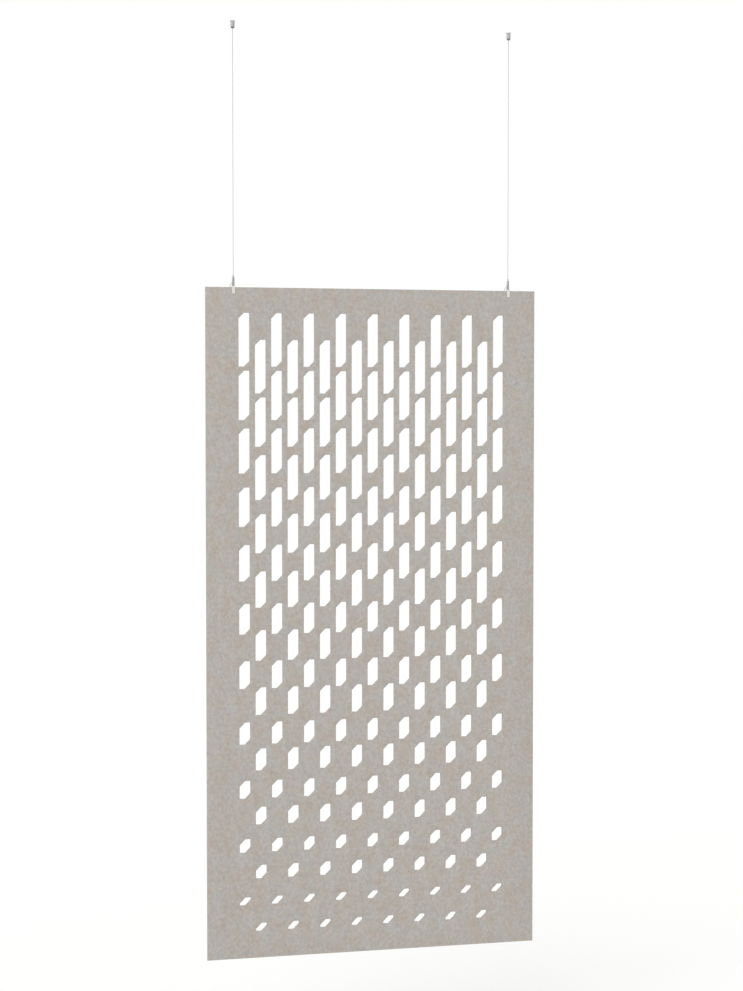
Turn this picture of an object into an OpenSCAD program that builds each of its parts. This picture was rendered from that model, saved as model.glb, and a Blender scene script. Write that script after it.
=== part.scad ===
// Hanging room divider: one felt panel, cut through with rows of slots that
// shorten towards the foot, on two stainless wires. Each wire ends in a ball
// that sits in a ceiling cap, and a self-locking gripper with a fork clip holds
// the panel's top edge. The gripper lets the wire's free tail out at its side.
//
// The origin is on the ceiling, midway between the two wires. X runs to the
// right along the panel, Y from its front face to its back, and Z up.

/* [Panel] */
// Width of the felt panel
panel_w = 1215; // [1150:5:1400]
// Height of the felt panel
panel_h = 2400; // [2350:10:2700]
// Thickness of the felt
panel_t = 12; // [9:1:24]
// Gap from the ceiling down to the panel's top edge
panel_drop = 935; // [300:1:2500]

/* [Slots] */
// Columns in each full row; the rows between have one column fewer
columns = 9; // [3:2:9]
// Distance between two columns of one row
column_pitch = 117.5; // [90:0.5:120]
// Width of a slot
slot_w = 40; // [30:1:44]
// Size of the two corners cut off a slot, at 45 degrees
corner_cut = 20; // [5:1:24]
// Felt left above the first row
top_margin = 90; // [60:5:110]
// How far the rows between lie below the full rows
row_offset = 95; // [60:5:110]
// Length of the slots, row by row from the top
slot_lengths = [190, 175, 160, 140, 130, 110, 100, 80, 65, 50, 30]; // [30:5:200]
// Felt left below the slots, row by row from the top
slot_webs = [15, 30, 50, 65, 80, 95, 120, 130, 145, 160, 180]; // [15:5:180]

/* [Wires] */
// Distance from the panel's side edge to the wire
hanger_inset = 100; // [60:5:300]
// Diameter of the wire
wire_d = 1.5; // [1:0.1:1.6]
// Bend that turns the tail out of the gripper, on the wire's centre line
bend_r = 4; // [3:0.5:5]
// How far above the gripper's plug that bend begins
bend_rise = 0.5; // [0.2:0.1:0.8]
// Angle between the leaving tail and the wire
tail_tilt = 41; // [35:1:45]
// Straight stretch of the tail through the gripper's wall
tail_through = 7; // [6:0.5:9]
// Large bend that brings the tail back to hang straight down
tail_r = 52; // [40:1:60]
// Straight end of the tail behind the panel
tail_end = 25; // [10:1:60]
// Direction in which the tail leaves, counted from the right-hand side
tail_turn = 145; // [135:1:150]

/* [Ceiling fitting] */
// Diameter of the flange that lies against the ceiling
flange_d = 19; // [17:0.5:30]
// Thickness of the flange's rim
flange_t = 1.5; // [1:0.1:3]
// Diameter of the neck where base and cap meet
neck_d = 14.2; // [14:0.1:16]
// Depth of the base below the ceiling
base_h = 8; // [6.5:0.5:8.5]
// Diameter of the threaded boss that the cap screws onto
boss_d = 12; // [10.5:0.5:12]
// Length of that boss
boss_l = 6; // [5:0.5:6.5]
// Diameter of the threaded hole for the ceiling stud
stud_d = 6; // [4:0.5:7]
// Depth of that hole
stud_depth = 12; // [6:0.5:12]
// Overall height of the fitting
fitting_h = 26.5; // [26:0.5:34]
// Largest diameter of the cap
cap_d = 14.8; // [14.6:0.1:17]
// Height of the cap's rounded end
cap_round = 6; // [4:0.5:7]
// Diameter of the rim round the wire's mouth
cap_tip_d = 6.8; // [6:0.1:8]
// Diameter of the mouth at the cap's tip
mouth_d = 5.2; // [4.8:0.1:5.4]
// Gap all round the wire in the cap's throat, below the ball's seat
throat_gap = 0.85; // [0.75:0.05:0.95]
// Gap all round the sleeve in the chamber above the ball's seat
chamber_gap = 1.8; // [1.6:0.1:2]

/* [Wire stop] */
// Diameter of the ball pressed onto the wire
ball_d = 4.8; // [4.4:0.1:5]
// Diameter of the sleeve above the ball
sleeve_d = 2.8; // [2.4:0.1:3]
// Length of that sleeve
sleeve_l = 2.5; // [2:0.5:3]
// Height of the ball's centre above the cap's tip
ball_rise = 6.5; // [6:0.25:7]

/* [Gripper] */
// Outer diameter of the barrel
barrel_d = 9; // [9:0.5:12]
// Length of the barrel
barrel_l = 31.3; // [30:0.1:34]
// Bore in which spring and plug sit
barrel_bore = 7.2; // [7:0.1:7.6]
// Height of the sloping shoulder at the barrel's top
shoulder_h = 1.6; // [1:0.1:4]
// Diameter of the plunger
plunger_d = 4.6; // [4.2:0.1:4.8]
// How far the plunger stands out of the barrel
plunger_out = 7; // [6:0.5:12]
// Travel of the plunger when it is pressed to release the wire
plunger_travel = 2; // [1:0.1:2]
// Depth of the flared mouth in the plunger's nose
mouth_h = 2.5; // [2:0.1:3]
// Depth in that mouth at which the wire flexes when the panel rocks
flex_depth = 1.3; // [1:0.1:1.6]
// Diameter of the flange at the plunger's foot
foot_d = 6; // [5.6:0.1:6.2]
// Thickness of that flange
foot_t = 1.2; // [0.8:0.1:1.4]
// Wall left in the plunger between the ball windows and that flange
cage_web = 1.35; // [1.2:0.05:1.5]
// Diameter of the clutch balls
clutch_ball_d = 2; // [1.8:0.1:2]
// Distance from the barrel's top to the clutch balls' centres
clutch_depth = 5; // [4.8:0.1:6]
// Half angle of the cone that squeezes the balls onto the wire
cone_angle = 10; // [9:0.5:12]
// Wire diameter of the plunger's spring
spring_wire = 0.4; // [0.3:0.05:0.5]
// Mean diameter of the spring
spring_d = 5; // [4.6:0.1:5.4]
// Turns of the spring
spring_turns = 4; // [3:1:4]
// Gap left between the spring's turns, in all, when the plunger is fully pressed
spring_spare = 0.4; // [0.2:0.1:0.8]

/* [Fork clip] */
// Width of the clip
clip_w = 10.5; // [9:0.5:16]
// Height of the clip's bridge above the panel
bridge_h = 4.7; // [4:0.1:7]
// How far the legs reach down the panel
leg_l = 23; // [20:1:40]
// Thickness of the front leg
front_leg_t = 2; // [1.5:0.1:4]
// Thickness of the back leg, which carries the clamp screw
back_leg_t = 3; // [2.5:0.1:5]
// Radius of the legs' lower corners
leg_corner = 3; // [1:0.5:4]
// Diameter of the clip screw and the clamp screw
screw_d = 4; // [3:0.5:4]
// Head diameter of the clip screw
screw_head_d = 7; // [6:0.5:7.5]
// Head height of the clip screw
screw_head_h = 2; // [1.5:0.1:2.2]
// How far the clip screw reaches into the gripper
screw_reach = 6; // [4:0.5:8]
// Length of the clamp screw
clamp_screw_l = 6; // [5:0.5:10]
// Depth of the clamp screw below the panel's top edge
clamp_depth = 14; // [12:0.5:16]
// Hexagon socket of the clip screw, across its corners
clip_hex_d = 2.6; // [2.2:0.1:3]
// Depth of that socket
clip_hex_depth = 1.4; // [1:0.1:1.8]
// Hexagon socket of the clamp screw, across its corners
clamp_hex_d = 2.2; // [1.8:0.1:2.4]
// Depth of that socket
clamp_hex_depth = 2; // [1.5:0.1:2.5]
// Diameter of the pressure pad
pad_d = 7.6; // [7:0.1:9]
// Thickness of the pressure pad
pad_t = 1.5; // [1.2:0.1:3]
// Depth of the seat for the screw's tip in the pad
pad_seat = 0.6; // [0.3:0.1:0.8]
// Gap between the pad and the back leg
pad_gap = 0.1; // [0.05:0.05:0.3]

/* [Fits] */
// Gap all round between screwed or sliding pieces
fit_gap = 0.05; // [0.02:0.01:0.08]
// Gap all round the wire in the plunger
wire_gap = 0.2; // [0.15:0.05:0.25]
// Gap all round the wire in the plug's duct, where it bends
duct_gap = 0.4; // [0.35:0.05:0.5]
// Gap all round the wire where it leaves through the barrel's wall
port_gap = 0.7; // [0.5:0.05:0.9]
// Smallest edge break on turned pieces
edge_break = 0.4; // [0.2:0.1:0.6]

/* [Hidden] */
$fn = 72;

left = -1;
right = 1;
over = 1; // how far a cut runs past the face it opens
flare_steps = 8;
swell_steps = 10;
round_steps = 6;
metal = [0.72, 0.72, 0.71];
steel = [0.62, 0.62, 0.61];
felt = [0.70, 0.68, 0.66];
white = [0.89, 0.89, 0.87];

hanger_x = panel_w / 2 - hanger_inset;
wire_r = wire_d / 2;
panel_top = -panel_drop;
front = -panel_t / 2;
back = panel_t / 2;

// Levels in the ceiling fitting
ball_z = -fitting_h + ball_rise;
seat_reach = (ball_d / 2 + fit_gap) * sqrt(2);
throat_r = wire_r + throat_gap;
chamber_r = sleeve_d / 2 + chamber_gap;
boss_foot = -base_h - boss_l;

// Levels in the gripper
barrel_foot = panel_top + bridge_h;
barrel_top = barrel_foot + barrel_l;
plunger_tip = barrel_top + plunger_out;
clutch_z = barrel_top - clutch_depth;
clutch_r = wire_r + clutch_ball_d / 2 + fit_gap / 2;
clutch_count = 3;
cone_r = clutch_r + clutch_ball_d / 2 / cos(cone_angle) + fit_gap / 2;
nose_r = plunger_d / 2 + fit_gap;
bore_r = barrel_bore / 2;
cone_top = clutch_z + (cone_r - nose_r) / tan(cone_angle);
cone_foot = clutch_z - (bore_r - cone_r) / tan(cone_angle);
foot_top = clutch_z - clutch_ball_d / 2 - fit_gap - cage_web;
foot_under = foot_top - foot_t;
spring_l = plunger_travel + (spring_turns + 1) * spring_wire + spring_spare;
plug_top = foot_under - spring_l;
spring_sides = 6;
turn_rings = 12;
pivot_z = plunger_tip - flex_depth;

// The tail's route, in the upright plane in which it leaves: a short bend out of the wire's
// axis, straight through the wall, and a large bend back to hang down
wire_sides = 12;
bend_steps = 6;
tail_steps = 8;
bend_z = plug_top + bend_rise;
corner_z = bend_z - bend_r * tan(tail_tilt / 2);
out_x = bend_r * (1 - cos(tail_tilt)) + tail_through * sin(tail_tilt);
out_z = bend_z - bend_r * sin(tail_tilt) - tail_through * cos(tail_tilt);
hang_x = out_x - tail_r * cos(tail_tilt);
hang_z = out_z - tail_r * sin(tail_tilt);

// Levels in the fork clip
clip_front = front - front_leg_t;
slot_back = back + pad_t + pad_gap;
clip_back = slot_back + back_leg_t;
clamp_z = panel_top - clamp_depth;
screw_r = screw_d / 2;

// Sum of the first count values of a list
function sum_to(list, count) = count <= 0 ? 0 : list[count - 1] + sum_to(list, count - 1);

// Depth of a row's upper edge below the panel's top
function row_top(row) = top_margin + sum_to(slot_lengths, row) + sum_to(slot_webs, row);

// Points of a curve that swells from r to r + bulge and back while z runs from z0 to z1
function swell(r, bulge, z0, z1, steps) =
    [for (i = [0 : steps]) [r + bulge * sin(180 * i / steps), z0 + (z1 - z0) * i / steps]];

// Points of a quarter round from the side at (r0, z0) to the end at (r1, z1)
function quarter(r0, z0, r1, z1, steps) =
    [for (i = [1 : steps]) [r1 + (r0 - r1) * cos(90 * i / steps), z0 + (z1 - z0) * sin(90 * i / steps)]];

// Points of a concave flare from the rim at (r0, z0) to the neck at (r1, z1)
function flare(r0, z0, r1, z1, steps) =
    [for (i = [0 : steps]) [r1 + (r0 - r1) * pow(1 - i / steps, 2), z0 + (z1 - z0) * i / steps]];

// Points of an arc of radius r round (x, z), from one angle to another
function arc(x, z, r, from, to, steps) =
    [for (i = [0 : steps]) let (a = from + (to - from) * i / steps) [x + r * cos(a), z + r * sin(a)]];

// Triangles of a closed tube of so many rings, each of so many points
function tube_faces(rings, sides) = concat(
    [for (ring = [0 : rings - 2])
        for (i = [0 : sides - 1])
            let (a = ring * sides + i, b = ring * sides + (i + 1) % sides)
                each [[a, b + sides, b], [a, a + sides, b + sides]]],
    [for (i = [1 : sides - 2])
        let (last = (rings - 1) * sides)
            each [[0, i, i + 1], [last, last + i + 1, last + i]]]
);

// A slot with two corners cut off, its upper edge at y = 0 and its middle at x = 0
module slot_outline(length) {
    half = slot_w / 2;
    polygon([
        [-half, -corner_cut], [corner_cut - half, 0], [half, 0],
        [half, corner_cut - length], [half - corner_cut, -length], [-half, -length]
    ]);
}

// One row of slots
module slot_row(count, depth, length) {
    for (i = [0 : count - 1])
        translate([(i - (count - 1) / 2) * column_pitch, -depth])
            slot_outline(length);
}

module felt_panel() {
    color(felt)
        translate([0, back, panel_top])
            rotate([90, 0, 0])
                linear_extrude(panel_t)
                    difference() {
                        translate([-panel_w / 2, -panel_h])
                            square([panel_w, panel_h]);
                        for (row = [0 : len(slot_lengths) - 1]) {
                            slot_row(columns, row_top(row), slot_lengths[row]);
                            slot_row(columns - 1, row_top(row) + row_offset, slot_lengths[row]);
                        }
                    }
}

// Moves a piece of a hanger onto the axis of its wire
module on_wire(side) {
    translate([side * hanger_x, 0, 0])
        children();
}

// Flange and neck in one, with a boss for the cap below and a stud hole from above
module ceiling_base(side) {
    color(metal)
        on_wire(side)
            difference() {
                union() {
                    rotate_extrude()
                        polygon(concat(
                            [[0, 0], [flange_d / 2, 0], [flange_d / 2, -flange_t]],
                            flare(flange_d / 2 - edge_break, -flange_t, neck_d / 2, -base_h, flare_steps),
                            [[0, -base_h]]
                        ));
                    translate([0, 0, boss_foot])
                        cylinder(d = boss_d, h = boss_l);
                }
                translate([0, 0, -stud_depth])
                    cylinder(d = stud_d, h = stud_depth + over);
            }
}

// Turned cap with a threaded socket, a seat for the ball and a flared mouth for the wire
module ceiling_cap(side) {
    socket_z = boss_foot - over;
    throat_z = ball_z + throat_r - seat_reach;
    color(metal)
        on_wire(side)
            difference() {
                rotate_extrude()
                    polygon(concat(
                        [[0, -base_h]],
                        swell(
                            neck_d / 2, (cap_d - neck_d) / 2, -base_h, cap_round - fitting_h,
                            swell_steps
                        ),
                        quarter(
                            neck_d / 2, cap_round - fitting_h, cap_tip_d / 2, -fitting_h,
                            round_steps
                        ),
                        [[0, -fitting_h]]
                    ));
                translate([0, 0, socket_z])
                    cylinder(r = boss_d / 2 + fit_gap, h = -socket_z);
                rotate_extrude()
                    polygon([
                        [0, socket_z + over], [chamber_r, socket_z + over],
                        [chamber_r, ball_z + chamber_r - seat_reach],
                        [throat_r, throat_z], [throat_r, throat_z - edge_break],
                        [mouth_d / 2, -fitting_h], [mouth_d / 2, -fitting_h - over],
                        [0, -fitting_h - over]
                    ]);
            }
}

// Ball and sleeve pressed onto the wire's upper end
module wire_stop(side) {
    sleeve_top = ball_z + ball_d / 2 + sleeve_l;
    color(steel)
        on_wire(side)
            difference() {
                union() {
                    translate([0, 0, ball_z])
                        sphere(d = ball_d);
                    translate([0, 0, ball_z])
                        cylinder(d = sleeve_d, h = sleeve_top - ball_z);
                }
                translate([0, 0, ball_z - ball_d])
                    cylinder(r = wire_r, h = 2 * ball_d + sleeve_l);
            }
}

// The taut stretch from the ceiling to the gripper's mouth, where the wire flexes
module wire(side) {
    wire_top = ball_z + ball_d / 2 + sleeve_l;
    color(steel)
        on_wire(side) {
            translate([0, 0, pivot_z])
                cylinder(r = wire_r, h = wire_top - pivot_z);
            translate([0, 0, pivot_z])
                sphere(r = wire_r);
        }
}

// The clamped stretch inside the gripper and the free tail behind the panel: a tube swept
// along the route, which lies in one upright plane
module wire_tail(side) {
    first = pivot_z - wire_r - fit_gap;
    route = concat(
        [[0, first]],
        arc(bend_r, bend_z, bend_r, 180, 180 + tail_tilt, bend_steps),
        arc(hang_x, hang_z, tail_r, tail_tilt, 0, tail_steps),
        [[hang_x + tail_r, hang_z - tail_end]]
    );
    leans = concat(
        [0], [for (i = [0 : bend_steps]) tail_tilt * i / bend_steps],
        [for (i = [0 : tail_steps]) tail_tilt * (1 - i / tail_steps)], [0]
    );
    points = [
        for (ring = [0 : len(route) - 1])
            for (i = [0 : wire_sides - 1])
                let (across = wire_r * cos(360 * i / wire_sides))
                    [route[ring][0] + across * cos(leans[ring]),
                     wire_r * sin(360 * i / wire_sides),
                     route[ring][1] + across * sin(leans[ring])]
    ];
    color(steel)
        on_wire(side)
            rotate([0, 0, tail_turn])
                polyhedron(points = points, faces = tube_faces(len(route), wire_sides));
}

// Barrel with the clutch cone, open below for the spring and the plug
module gripper_barrel(side) {
    color(metal)
        on_wire(side)
            difference() {
                rotate_extrude()
                    polygon([
                        [0, barrel_foot], [barrel_d / 2 - edge_break, barrel_foot],
                        [barrel_d / 2, barrel_foot + edge_break],
                        [barrel_d / 2, barrel_top - shoulder_h],
                        [nose_r + edge_break, barrel_top], [0, barrel_top]
                    ]);
                rotate_extrude()
                    polygon([
                        [0, barrel_foot - over], [bore_r, barrel_foot - over], [bore_r, cone_foot],
                        [nose_r, cone_top], [nose_r, barrel_top + over], [0, barrel_top + over]
                    ]);
                tail_duct(wire_r + port_gap, barrel_d);
            }
}

// Cut for a straight hole along the tail, from the wire's axis outwards
module tail_duct(r, length) {
    rotate([0, 0, tail_turn])
        translate([0, 0, corner_z])
            rotate([0, 180 - tail_tilt, 0])
                cylinder(r = r, h = length);
}

// Hollow plunger: pressing its nose pushes the balls out of the cone and frees the wire
module gripper_plunger(side) {
    color(steel)
        on_wire(side)
            difference() {
                rotate_extrude()
                    polygon([
                        [0, foot_under], [foot_d / 2, foot_under], [foot_d / 2, foot_top],
                        [plunger_d / 2, foot_top], [plunger_d / 2, plunger_tip - edge_break],
                        [plunger_d / 2 - edge_break, plunger_tip], [0, plunger_tip]
                    ]);
                translate([0, 0, foot_under - over])
                    cylinder(r = wire_r + wire_gap, h = plunger_tip - foot_under + 2 * over);
                translate([0, 0, plunger_tip - mouth_h])
                    cylinder(
                        r1 = wire_r + wire_gap, r2 = plunger_d / 2 - 2 * edge_break,
                        h = mouth_h + fit_gap
                    );
                for (i = [0 : clutch_count - 1])
                    translate([0, 0, clutch_z])
                        rotate([0, 90, i * 360 / clutch_count])
                            cylinder(r = clutch_ball_d / 2 + fit_gap, h = plunger_d);
            }
}

// The three balls that wedge between cone and wire
module clutch_balls(side) {
    color(steel)
        on_wire(side)
            for (i = [0 : clutch_count - 1])
                rotate([0, 0, i * 360 / clutch_count])
                    translate([clutch_r, 0, clutch_z])
                        sphere(d = clutch_ball_d);
}

// Helical spring between the plug and the plunger's foot
module plunger_spring(side) {
    rings = spring_turns * turn_rings;
    rise = spring_l - spring_wire - 2 * fit_gap;
    points = [
        for (ring = [0 : rings])
            for (i = [0 : spring_sides - 1])
                let (turn = 360 * ring / turn_rings, around = 360 * i / spring_sides,
                     r = (spring_d + spring_wire * cos(around)) / 2)
                    [r * cos(turn), r * sin(turn),
                     rise * ring / rings + spring_wire * sin(around) / 2]
    ];
    color(steel)
        on_wire(side)
            translate([0, 0, plug_top + fit_gap + spring_wire / 2])
                polyhedron(points = points, faces = tube_faces(rings + 1, spring_sides));
}

// Threaded plug: its upper face seats the spring, its duct turns the tail out of the barrel
module gripper_plug(side) {
    color(metal)
        on_wire(side)
            difference() {
                translate([0, 0, barrel_foot])
                    cylinder(r = bore_r - fit_gap, h = plug_top - barrel_foot);
                translate([0, 0, corner_z - edge_break])
                    cylinder(r = wire_r + duct_gap, h = plug_top - corner_z + edge_break + over);
                tail_duct(wire_r + duct_gap, barrel_d);
                translate([0, 0, barrel_foot - over])
                    cylinder(r = screw_r + fit_gap, h = screw_reach + 2 * over);
            }
}

// Screw that ties the fork clip to the gripper, put in from below
module clip_screw(side) {
    head_z = barrel_foot - bridge_h + fit_gap;
    color(steel)
        on_wire(side)
            difference() {
                union() {
                    translate([0, 0, head_z])
                        cylinder(d = screw_head_d, h = screw_head_h);
                    translate([0, 0, head_z])
                        cylinder(r = screw_r, h = bridge_h + screw_reach);
                }
                translate([0, 0, head_z - over])
                    cylinder(d = clip_hex_d, h = clip_hex_depth + over, $fn = 6);
            }
}

// Outline of a leg seen from the front: square at the top, round at its lower corners
module leg_outline() {
    translate([0, -leg_l / 2])
        square([clip_w, leg_l - 2 * leg_corner], center = true);
    translate([leg_corner - clip_w / 2, -leg_l])
        square([clip_w - 2 * leg_corner, leg_l]);
    for (side = [left, right])
        translate([side * (clip_w / 2 - leg_corner), leg_corner - leg_l])
            circle(r = leg_corner);
    translate([-clip_w / 2, -leg_corner])
        square([clip_w, leg_corner + bridge_h]);
}

// Fork clip that straddles the panel's top edge
module fork_clip(side) {
    color(white)
        on_wire(side)
            difference() {
                translate([0, clip_back, panel_top])
                    rotate([90, 0, 0])
                        linear_extrude(clip_back - clip_front)
                            leg_outline();
                translate([-clip_w, front, panel_top - leg_l - over])
                    cube([2 * clip_w, slot_back - front, leg_l + over]);
                translate([0, 0, panel_top - over])
                    cylinder(r = screw_r + fit_gap, h = bridge_h + 2 * over);
                translate([0, 0, panel_top - over])
                    cylinder(r = screw_head_d / 2 + 2 * fit_gap, h = screw_head_h + fit_gap + over);
                translate([0, clip_back + over, clamp_z])
                    rotate([90, 0, 0])
                        cylinder(r = screw_r + fit_gap, h = back_leg_t + 2 * over);
            }
}

// Set screw in the back leg, with a hexagon socket
module clamp_screw(side) {
    tip_y = back + pad_t - pad_seat;
    color(steel)
        on_wire(side)
            translate([0, tip_y + clamp_screw_l, clamp_z])
                rotate([90, 0, 0])
                    difference() {
                        rotate_extrude()
                            polygon([
                                [0, 0], [screw_r - edge_break, 0], [screw_r, edge_break],
                                [screw_r, clamp_screw_l - edge_break],
                                [screw_r - edge_break, clamp_screw_l], [0, clamp_screw_l]
                            ]);
                        translate([0, 0, -over])
                            cylinder(d = clamp_hex_d, h = clamp_hex_depth + over, $fn = 6);
                    }
}

// Pressure pad between the clamp screw and the felt
module clamp_pad(side) {
    color(white)
        on_wire(side)
            translate([0, back, clamp_z])
                rotate([-90, 0, 0])
                    difference() {
                        cylinder(d = pad_d, h = pad_t);
                        translate([0, 0, pad_t - pad_seat])
                            cylinder(r = screw_r + fit_gap, h = pad_seat + over);
                    }
}

felt_panel();
ceiling_base(left);  // ceiling_base_left
ceiling_cap(left);  // ceiling_cap_left
wire_stop(left);  // wire_stop_left
wire(left);  // wire_left
wire_tail(left);  // wire_tail_left
gripper_barrel(left);  // gripper_barrel_left
gripper_plunger(left);  // gripper_plunger_left
clutch_balls(left);  // clutch_balls_left
plunger_spring(left);  // plunger_spring_left
gripper_plug(left);  // gripper_plug_left
clip_screw(left);  // clip_screw_left
fork_clip(left);  // fork_clip_left
clamp_screw(left);  // clamp_screw_left
clamp_pad(left);  // clamp_pad_left
ceiling_base(right);  // ceiling_base_right
ceiling_cap(right);  // ceiling_cap_right
wire_stop(right);  // wire_stop_right
wire(right);  // wire_right
wire_tail(right);  // wire_tail_right
gripper_barrel(right);  // gripper_barrel_right
gripper_plunger(right);  // gripper_plunger_right
clutch_balls(right);  // clutch_balls_right
plunger_spring(right);  // plunger_spring_right
gripper_plug(right);  // gripper_plug_right
clip_screw(right);  // clip_screw_right
fork_clip(right);  // fork_clip_right
clamp_screw(right);  // clamp_screw_right
clamp_pad(right);  // clamp_pad_right
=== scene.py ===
import math

import bmesh
import bpy
import numpy as np
from mathutils import Matrix, Vector


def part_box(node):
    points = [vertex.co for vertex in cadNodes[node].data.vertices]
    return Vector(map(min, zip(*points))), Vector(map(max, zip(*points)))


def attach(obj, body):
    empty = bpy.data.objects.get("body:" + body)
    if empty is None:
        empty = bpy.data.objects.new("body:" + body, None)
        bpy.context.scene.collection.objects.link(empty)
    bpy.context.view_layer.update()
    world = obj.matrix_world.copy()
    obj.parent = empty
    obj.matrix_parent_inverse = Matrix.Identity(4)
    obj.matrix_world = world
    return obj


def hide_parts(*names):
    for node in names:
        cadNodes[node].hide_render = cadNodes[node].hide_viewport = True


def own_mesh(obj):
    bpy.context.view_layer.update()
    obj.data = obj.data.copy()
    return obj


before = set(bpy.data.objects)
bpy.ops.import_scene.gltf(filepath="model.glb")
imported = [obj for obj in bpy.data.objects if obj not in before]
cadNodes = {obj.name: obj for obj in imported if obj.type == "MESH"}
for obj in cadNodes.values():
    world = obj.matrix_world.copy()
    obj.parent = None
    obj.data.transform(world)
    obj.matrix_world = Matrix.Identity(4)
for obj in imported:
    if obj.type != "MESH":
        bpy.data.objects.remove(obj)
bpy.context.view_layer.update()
print("frame loaded:", len(cadNodes), "nodes")

mm = 0.001
slack = {"merge": 0.002, "same": 0.01}  # mm: points that are merged, and places that count as one
sides = {"left": -1, "right": 1}
# The wires' distance from the middle in metres, and the height of the board's top edge in mm,
# below a ceiling at 0
hangerX = sum(corner.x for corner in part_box("wire_right")) / 2
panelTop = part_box("felt_panel")[1].z / mm


# Place, turn and lens solved from the board's corners and its rows of slots in the photograph
view = {
    "place": (-1.72734, -7.20921, -1.37469),
    "tiltDown": 2.34,  # degrees
    "turnRight": 13.44,
    "lens": 74.65,  # mm
    "sensor": 36.0,
    "near": 0.05,  # metres: the camera sees from here
    "far": 200,  # to here
}


def addCamera():
    data = bpy.data.cameras.new("photoCamera")
    data.sensor_width = view["sensor"]
    data.lens = view["lens"]
    data.clip_start, data.clip_end = view["near"], view["far"]
    camera = bpy.data.objects.new("photoCamera", data)
    camera.location = view["place"]
    camera.rotation_euler = (
        math.radians(90 - view["tiltDown"]), 0, math.radians(-view["turnRight"])
    )
    bpy.context.scene.collection.objects.link(camera)
    bpy.context.scene.camera = camera


addCamera()
print("camera placed")


def linear(hexColour):
    # an sRGB colour as the shaders want it
    parts = [int(hexColour[i:i + 2], 16) / 255 for i in (1, 3, 5)]
    return [c / 12.92 if c <= 0.04045 else ((c + 0.055) / 1.055) ** 2.4 for c in parts] + [1]


def addNode(tree, kind, inputs=None, stops=(), **settings):
    made = tree.nodes.new(kind)
    for name, value in settings.items():
        setattr(made, name, value)
    for i, (place, colour) in enumerate(stops):  # a colour ramp's stops
        points = made.color_ramp.elements
        point = points[i] if i < len(points) else points.new(place)
        point.position, point.color = place, linear(colour)
    for name, value in (inputs or {}).items():
        if isinstance(value, bpy.types.NodeSocket):
            tree.links.new(value, made.inputs[name])
        else:
            made.inputs[name].default_value = value
    return made


def newMaterial(name, **fixed):
    made = bpy.data.materials.new(name)
    made.use_nodes = True
    tree = made.node_tree
    shader = tree.nodes["Principled BSDF"]
    for socket, value in fixed.items():
        shader.inputs[socket.replace("_", " ")].default_value = value
    return made, tree, shader


# Needled polyester felt: staple fibres of a few greys and beiges, blended, needled and
# pressed to a board. It is dull all over, softly heathered, with loose hairs on its face.
felt = {
    "finish": {
        "Roughness": 0.94, "Specular_IOR_Level": 0.22,
        "Sheen_Weight": 0.12, "Sheen_Roughness": 0.5,
    },
    "drawn": 0.78,  # the web is drawn out along the board as it is made
    "cloud": 46 * mm,  # patches where one colour of fibre is denser
    "fleck": 26 * mm,  # dye lots that lean to green or to red
    "mottle": 9 * mm,  # tufts, as the needles leave them
    "detail": {"cloud": 4.0, "fleck": 4.0, "mottle": 3.0},  # finer patches inside each
    "fineness": 0.65,  # and how strongly they show
    "tones": ((0.30, "#b5b3b3"), (0.50, "#b5afa9"), (0.70, "#b5a99e")),  # cool to warm
    "fleckRange": (0.3, 0.7),
    "greenish": (0.986, 1.026, 0.986),
    "reddish": (1.014, 0.974, 1.014),
    "mottleRange": (0.25, 0.75),
    "mottleDepth": 0.172,
    "lightHair": "#d8d3cd",
    "darkHair": "#918b86",
    # how far each set of hairs is turned from upright, in degrees
    "hairs": {8: "lightHair", 47: "darkHair", 98: "lightHair", 139: "darkHair"},
    "hairRange": (0.56, 0.72),
    "hairShare": 0.44,
    "hairWidth": 0.30 * mm,  # real hairs are 0.03 mm: drawn in strands that can be seen
    "hairDepth": 0.2,  # on the two faces a hair goes five widths deep into the board
    "hairLength": 10 * mm,
    "hairWander": 11 * mm,  # how far apart a hair's curls are
    "hairCurl": 11 * mm,  # and how far they can carry it aside
    "mottleRise": 1.5,  # of the tufts, where a hair's is 1
    "bump": 0.6,
    "relief": 0.18 * mm,
}


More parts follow.
